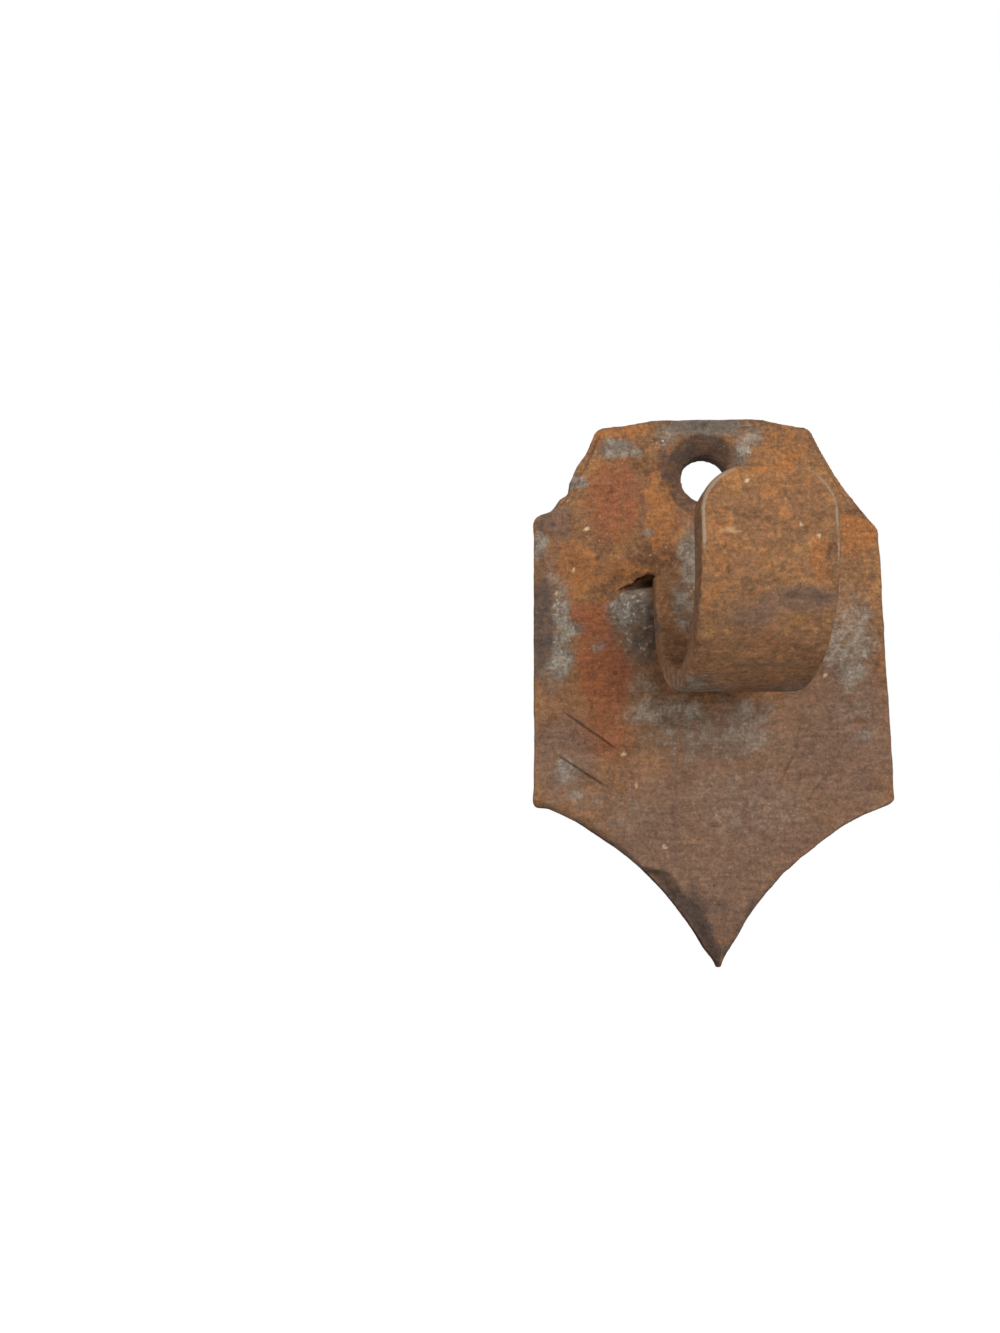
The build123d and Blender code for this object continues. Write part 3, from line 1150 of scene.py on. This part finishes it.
    def wear_mouth(self, skin: Skin) -> None:
        """Open the hole's mouth unevenly, wider to the left, and darken its wall, with painted shade towards
        its top.

        Args:
            skin: the skin to work.
        """
        x, z = skin.points[:, 0], skin.points[:, 2]
        around = np.hypot(x, z)
        front = smooth_step(skin.points[:, 1], self.plate_front - 1.0, self.plate_front - self.palm_depth)
        rim = smooth_step(around, *self.mouth_inner) * smooth_step(around, *self.mouth_reach) * front
        wider = self.mouth_wider + self.mouth_rough.over(skin.points * IN_WALL)
        wider = wider + self.mouth_left * smooth_step(x, *self.mouth_left_span)
        skin.points[:, 0] += x / around * wider * rim
        skin.points[:, 2] += z / around * wider * rim
        skin.points[:, 1] += self.mouth_round * rim
        inward = around + self.wall_stray.over(skin.points)
        wall = smooth_step(inward, self.mouth + 1.0, self.mouth - 0.6)
        bared = 1.0 - self.wall_bared * smooth_step(x, *self.wall_bared_span)
        # painted shade: the wall darker towards its top
        dark = self.wall_dark + self.wall_dark_top * smooth_step(z, *self.wall_top_span)
        self.mark(StainKind.CHAR_AND_SHADE, dark * wall * bared)

    def edge_wear(self, skin: Skin) -> np.ndarray:
        """Rub every edge lightly, and both long edges of the front leg bright: rubbed wear and a painted
        highlight on their rounding.

        Args:
            skin: the worked skin.

        Returns:
            How much each point has been rubbed bare or painted bright, from 0 to 1.
        """
        facing = skin.normals()
        side = np.abs(facing[:, 0])
        left = facing[:, 0] < 0
        # painted highlight and wear along the rounding of the leg's long edges
        line = smooth_step(side, *self.line_in) * smooth_step(side, *self.line_out) * (facing[:, 1] < 0)
        line = line * (smooth_step(skin.points[:, 2], *self.line_span)
                       * smooth_step(skin.points[:, 1], *self.line_front))
        high_up = smooth_step(skin.points[:, 2], *self.line_left)
        broken = self.line_bright + self.line_broken.over(skin.points) + self.line_left_more * left * high_up
        broken *= np.where(left, self.line_left_low + (1.0 - self.line_left_low) * high_up, 1.0)
        across = smooth_step(side, *self.side_facing) * smooth_step(skin.points[:, 1], *self.side_front)
        self.mark(StainKind.CHAR_AND_SHADE, self.side_dark * across)
        return np.maximum(super().edge_wear(skin), line * broken)


# ---------------------------------------------------------------------------------------------
# Studio
# ---------------------------------------------------------------------------------------------

@dataclass(frozen=True)
class Lamp:
    """Square soft light."""

    name: str
    place_mm: tuple[float, float, float]
    side_mm: float
    watts: float


@dataclass
class Studio:
    """Pale floor, soft light and the camera."""

    camera_mm: tuple[float, float, float] = (-39.6, -184.5, -62.5)
    look_up_deg: float = 7.33
    look_left_deg: float = 0.93
    lens_mm: float = 24.3
    sensor_mm: float = 36.0
    nearest_mm: float = 5.0           # anything closer to the camera isn't drawn
    floor_drop_mm: float = 330.0
    floor_radius_mm: float = 1500.0
    floor_corners: int = 96
    floor_colour: str = "#f4f4f2"
    floor_roughness: float = 0.95
    floor_glow: float = 0.7           # evens out the lamps' shading of it
    lamps: tuple[Lamp, ...] = (Lamp("key", (260.0, -950.0, 160.0), 650.0, 7.7),
                               Lamp("fill", (-760.0, -560.0, -60.0), 500.0, 2.6))
    aim_mm: tuple[float, float, float] = (0.0, -15.0, -40.0)
    glow_span: tuple[float, float] = (-0.7, 0.7)               # z of the way that counts as below and above
    glow: tuple[float, float] = (0.38, 0.42)                   # strength of the surroundings there

    def build(self) -> None:
        """Put up the floor, the lamps, the surroundings and the camera."""
        self.lay_floor()
        for lamp in self.lamps:
            self.light(lamp)
        self.surround()
        self.place_camera()
        scene = bpy.context.scene
        scene.view_settings.view_transform = "Standard"
        scene.view_settings.look = "None"

    def lay_floor(self) -> None:
        """Round pale floor below the piece, seen by the camera but not lighting the iron."""
        mesh = bpy.data.meshes.new("floor")
        turns = [2 * math.pi * i / self.floor_corners for i in range(self.floor_corners)]
        ring = [(self.floor_radius_mm * MM * math.cos(turn), self.floor_radius_mm * MM * math.sin(turn),
                 -self.floor_drop_mm * MM) for turn in turns]
        mesh.from_pydata(ring, [], [list(range(len(ring)))])
        floor = bpy.data.objects.new("floor", mesh)
        bpy.context.scene.collection.objects.link(floor)
        material = bpy.data.materials.new("white_painted_board")
        material.use_nodes = True
        shader = material.node_tree.nodes["Principled BSDF"]
        shader.inputs["Base Color"].default_value = linear(self.floor_colour)
        shader.inputs["Roughness"].default_value = self.floor_roughness
        shader.inputs["Emission Color"].default_value = (1.0, 1.0, 1.0, 1.0)
        shader.inputs["Emission Strength"].default_value = self.floor_glow
        mesh.materials.append(material)
        floor.visible_diffuse = False
        floor.visible_glossy = False

    def light(self, lamp: Lamp) -> None:
        """Stand one lamp up and aim it at the piece.

        Args:
            lamp: which one.
        """
        data = bpy.data.lights.new(lamp.name, "AREA")
        data.size = lamp.side_mm * MM
        data.energy = lamp.watts
        stand = bpy.data.objects.new(lamp.name, data)
        bpy.context.scene.collection.objects.link(stand)
        stand.location = Vector(lamp.place_mm) * MM
        toward = (Vector(self.aim_mm) - Vector(lamp.place_mm)).normalized()
        stand.rotation_euler = toward.to_track_quat("-Z", "Y").to_euler()

    def surround(self) -> None:
        """White surroundings that light the iron softly, a little more from above than from below."""
        world = bpy.data.worlds.new("surroundings")
        bpy.context.scene.world = world
        world.use_nodes = True
        world.node_tree.nodes.clear()
        add = partial(add_node, world.node_tree)
        height = add("SeparateXYZ", (add("TexCoord", output="Generated"),), "Z")
        climb = add("MapRange", (height, *self.glow_span, *self.glow), **EASED)
        soft = add("Background", {"Strength": climb})
        white = add("Background", {"Strength": 1.0, "Color": (1, 1, 1, 1)})
        seen = add("LightPath", output="Is Camera Ray")
        add("OutputWorld", {"Surface": add("MixShader", (seen, soft, white))}, None)

    def place_camera(self) -> None:
        """Stand the camera low and left of the piece, close to it."""
        data = bpy.data.cameras.new("camera")
        data.sensor_width = self.sensor_mm
        data.lens = self.lens_mm
        data.clip_start = self.nearest_mm * MM
        camera = bpy.data.objects.new("camera", data)
        bpy.context.scene.collection.objects.link(camera)
        camera.location = Vector(self.camera_mm) * MM
        camera.rotation_euler = (math.radians(90 + self.look_up_deg), 0.0, math.radians(self.look_left_deg))
        bpy.context.scene.camera = camera


# ---------------------------------------------------------------------------------------------
# The holdback
# ---------------------------------------------------------------------------------------------

# Stains, each as x, z, half width, half height and, where it isn't full, strength.
STAINS = {
    Layer.FACE: {
        StainKind.SCALE: (
            (-18.3, 5.9, 3.6, 2.0, 0.9), (-14.5, 4.6, 2.0, 1.2, 0.8), (-0.6, 10.0, 9.5, 2.4, 0.9),
            (-8.6, 8.2, 2.4, 3.0, 0.7), (8.8, 8.2, 3.6, 3.4, 0.65), (-12.1, -12.3, 1.4, 1.2, 0.8),
            (-4.3, -18.0, 2.0, 8.0, 0.8), (-5.6, -28.0, 2.4, 6.0, 0.7), (-26.8, -0.6, 2.8, 1.8, 0.9),
            (-34.6, -14.4, 1.7, 3.4, 0.9), (-32.5, -30.0, 4.0, 14.0, 0.62), (-30.2, -28.5, 2.8, 4.0, 0.9),
            (-27.9, -31.6, 2.6, 1.9, 0.9), (-30.6, -37.0, 2.8, 5.5, 0.85), (-22.6, -34.9, 1.6, 1.3, 0.7),
            (-16.0, -27.4, 4.6, 4.2, 0.9), (-14.6, -33.0, 3.6, 5.5, 0.6), (7.0, 4.2, 1.8, 2.6, 0.9),
            (-9.0, -48.5, 9.0, 4.0, 0.7), (-13.5, -43.0, 4.0, 4.0, 0.5), (28.5, -34.0, 5.5, 11.0, 0.7),
            (30.6, -29.5, 2.6, 4.0, 0.7), (29.0, -48.0, 5.0, 9.5, 0.36), (7.6, -49.0, 6.5, 3.4, 0.62),
            (0.0, -54.0, 15.0, 5.0, 0.55), (-29.6, -60.1, 3.0, 3.2, 0.7), (-26.6, -65.1, 2.7, 1.6, 0.6),
            (8.0, -66.0, 14.0, 8.0, 0.38), (-20.0, -68.0, 8.0, 4.0, 0.4), (30.0, -53.0, 1.6, 1.7, 0.8),
        ),
        StainKind.ORANGE: (
            (-22.8, -44.0, 5.0, 9.0, 0.42), (-22.6, -28.0, 2.6, 4.5, 0.55), (-9.8, -8.0, 3.4, 9.0, 0.75),
            (-17.0, 9.8, 7.0, 2.0, 0.7), (31.0, -12.3, 4.0, 4.5, 0.9), (27.1, -27.6, 2.4, 3.0, 0.9),
            (-27.0, -19.0, 5.0, 6.0, 0.65), (-18.0, -20.0, 6.0, 2.5, 0.5), (16.0, 4.0, 5.0, 6.0, 0.5),
        ),
        StainKind.RED: (
            (-21.2, -40.0, 5.8, 9.5), (-23.7, -29.7, 4.6, 4.6), (-22.6, -52.8, 6.4, 5.2, 0.6),
            (-19.0, -5.0, 5.5, 9.0, 0.75), (20.0, -76.0, 9.0, 3.5, 0.5),
        ),
        StainKind.PLUM: (
            (2.0, -76.0, 26.0, 20.0, 0.95), (-30.0, -58.0, 7.0, 9.0, 0.9), (6.0, -55.0, 20.0, 9.0, 0.7),
            (-20.0, -66.0, 12.0, 5.0, 0.5), (26.0, -54.0, 12.0, 18.0, 0.85), (-15.5, -31.0, 5.0, 7.0, 0.6),
            (-32.0, -33.0, 4.5, 16.0, 0.6), (-31.0, -9.0, 4.0, 4.5, 0.8),
        ),
        StainKind.CHAR_AND_SHADE: (
            # the first two: painted shadow of the bar on the plate, to its left
            (-13.4, -34.0, 2.6, 6.0, 0.42), (-12.2, -31.5, 1.3, 8.0, 0.5), (-4.5, -88.0, 2.5, 6.0, 0.6),
            (0.0, 10.2, 9.0, 2.0, 0.4), (0.0, -90.0, 6.0, 8.0, 0.32), (-13.2, -8.5, 0.9, 5.0, 0.36),
            (-34.0, -24.0, 2.2, 6.0, 0.6), (-34.2, -32.0, 2.2, 10.0, 0.6), (-8.6, 0.5, 1.3, 5.5, 0.55),
            (-33.0, -9.0, 2.5, 2.5, 0.4),
        ),
        # painted highlights: where pale glints show
        StainKind.GLINT: (
            (-16.3, -27.0, 4.2, 3.4, 0.75), (-15.0, -33.0, 3.4, 4.5, 0.4), (-18.6, -25.6, 1.2, 1.6, 1.0),
            (7.9, 4.4, 1.4, 1.4, 0.9), (-31.2, -25.6, 1.1, 2.6, 0.9), (-27.8, -31.6, 1.8, 1.4, 0.8),
            (-3.2, -20.0, 1.0, 5.0, 0.5), (-30.5, -33.0, 2.4, 7.0, 0.35), (-9.3, 7.2, 1.0, 1.6, 0.8),
        ),
        StainKind.SPECK: (
            (-24.6, -10.6, 0.5, 0.3), (-27.5, -19.0, 0.3, 0.25), (-22.0, -8.3, 0.25, 0.25, 0.7),
            (-30.9, -24.0, 0.25, 0.5, 0.8), (-31.6, -26.8, 0.25, 0.35, 0.7),
            (-28.6, -32.8, 0.3, 0.35, 0.6), (23.2, -41.2, 0.45, 0.35, 0.8),
            (-17.9, -57.0, 0.35, 0.35, 0.8), (-15.5, -63.0, 0.35, 0.35, 0.6),
            (-9.9, -75.1, 0.35, 0.35, 0.7),
        ),
    },
    Layer.LEG: {
        StainKind.ORANGE: (
            (1.6, -13.8, 4.5, 0.8, 0.9), (8.0, -27.6, 1.6, 4.0, 0.6), (1.0, -16.0, 12.0, 10.0, 0.25),
            (-8.0, -26.0, 2.5, 9.0, 0.4),
        ),
        StainKind.PLUM: (
            (5.5, -33.8, 6.4, 2.3, 0.8), (-1.7, -36.1, 4.7, 2.3, 0.7),
        ),
        StainKind.CHAR_AND_SHADE: (
            # the second: painted shade along the bottom of the bend
            (6.6, -33.4, 4.6, 0.9, 0.34), (0.0, -44.8, 11.0, 1.6, 0.4),
        ),
        StainKind.SPECK: (
            (-3.3, -15.7, 0.4, 0.4, 1.0), (7.6, -24.7, 0.35, 0.25, 1.0), (4.8, -22.8, 0.25, 0.3, 0.9),
            (-6.0, -23.7, 1.3, 0.3, 0.35),
        ),
    },
}

PLATE_SCRATCHES = (
    Scratch((-30.6, -47.8), (-18.0, -56.7)),
    Scratch((-32.2, -56.3), (-20.4, -64.0)),
    Scratch((17.6, -50.5), (16.4, -57.0), 0.5, 0.4),
    Scratch((16.7, -55.8), (12.4, -64.0), 0.5, 0.55),
    Scratch((24.4, -56.8), (22.2, -61.8), 0.5, 0.35),
    Scratch((22.8, -60.6), (18.0, -66.8), 0.5, 0.45),
)


def main() -> None:
    """Build the holdback and its studio round the frame."""
    logging.basicConfig(level=logging.INFO, format="%(name)s: %(message)s")
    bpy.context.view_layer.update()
    stains = tuple(Stain(kind, layer, *row) for layer, kinds in STAINS.items()
                   for kind, rows in kinds.items() for row in rows)
    plate = ShieldPlate("shield_plate", "shield_plate_iron", "plate_iron", stains=stains)
    plate.dress(plate.build(), RustedIron("rusted_wrought_iron_plate", scratches=PLATE_SCRATCHES))
    hook = HookBar("hook_bar", "hook_bar_iron", "hook_iron", stains=stains)
    hook.dress(hook.build(), RustedIron("rusted_wrought_iron_hook"))
    Studio().build()


if __name__ == "__main__":
    main()
